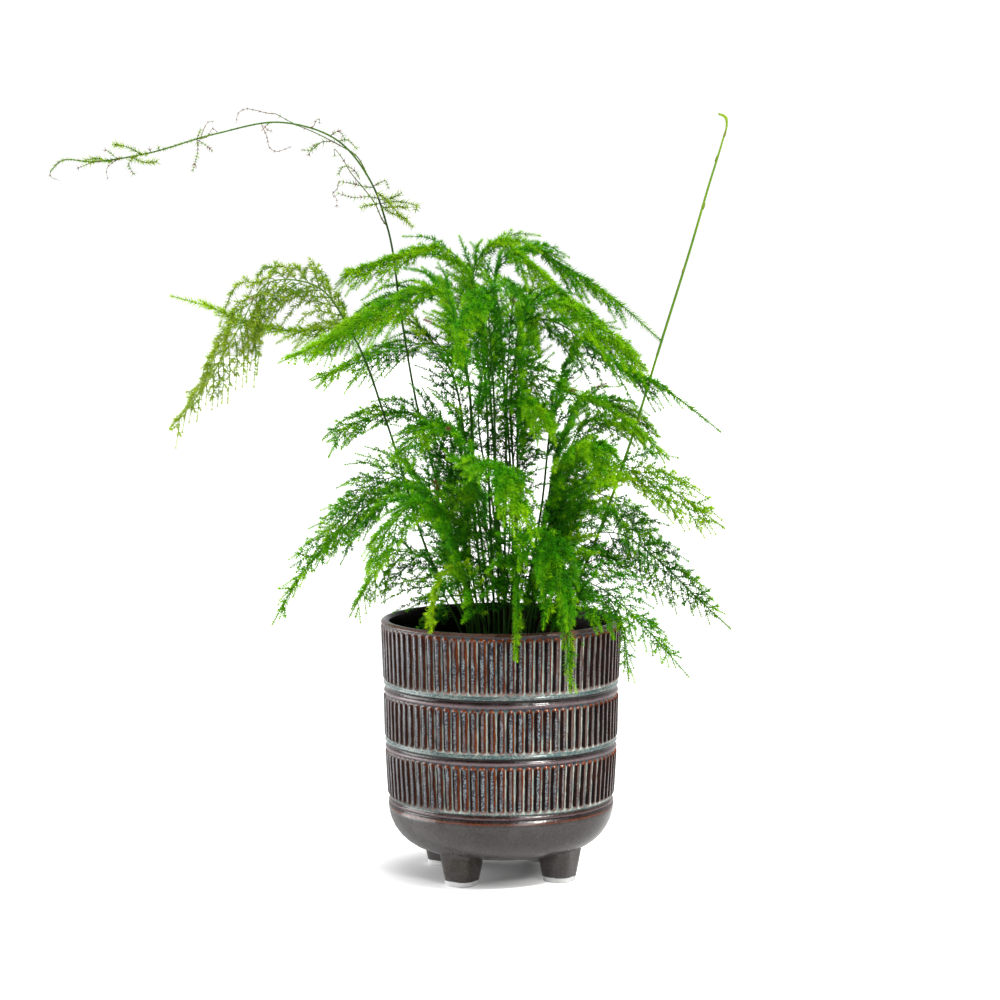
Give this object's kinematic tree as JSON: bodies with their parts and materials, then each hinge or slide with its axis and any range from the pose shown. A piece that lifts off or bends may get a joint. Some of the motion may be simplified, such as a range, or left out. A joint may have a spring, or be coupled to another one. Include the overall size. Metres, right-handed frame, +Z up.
{
  "type": "potted asparagus fern",
  "caption": "Feathery asparagus fern with wiry arching stems and needled fronds, growing in a ribbed, footed, glazed ceramic pot filled with soil.",
  "frame": {"origin": "on the ground, under the middle of the box round the whole plant; the pot's axis stands 66.4 mm along +X and 2.5 mm along -Y from it", "axes": "+Z up, +Y away from the front, +X to the right as seen from the front"},
  "size_m": [0.4214, 0.2942, 0.4769],
  "materials": {
    "glaze": "gloss",
    "soil": "matte",
    "green": "satin",
    "young": "satin",
    "olive": "satin",
    "shoot": "satin"
  },
  "bodies": {
    "root": {"pot": "glaze", "soil": "soil", "frond_left_drooping": "olive", "frond_left_sagging": "young", "frond_top_left": "green", "frond_top_right": "green", "frond_upper_left": "green", "frond_upper_left_back": "green", "frond_upper_right": "green", "frond_right_long": "green", "frond_upper_right_front": "green", "frond_upper_front": "green", "frond_upper_back": "green", "frond_upper_right_back": "green", "frond_middle_right": "green", "frond_middle_left": "green", "frond_left_low_arch": "green", "frond_middle_right_back": "green", "frond_lower_left": "green", "frond_lower_left_back": "green", "frond_low_left": "green", "frond_lower_right": "young", "frond_lower_right_long": "green", "frond_low_right_front": "green", "frond_droop_front": "green", "frond_droop_front_right": "young", "frond_droop_front_left": "young", "frond_droop_right": "green", "frond_bush_right_front": "green", "frond_bush_front": "green", "frond_bush_front_left": "green", "frond_bush_low_front": "green", "frond_bush_back": "green", "frond_bush_right_back": "green", "frond_inner_front": "green", "frond_inner_left": "green", "frond_inner_right": "green", "stem_arching": "olive", "stem_young_shoot": "shoot"}
  },
  "joints": []
}
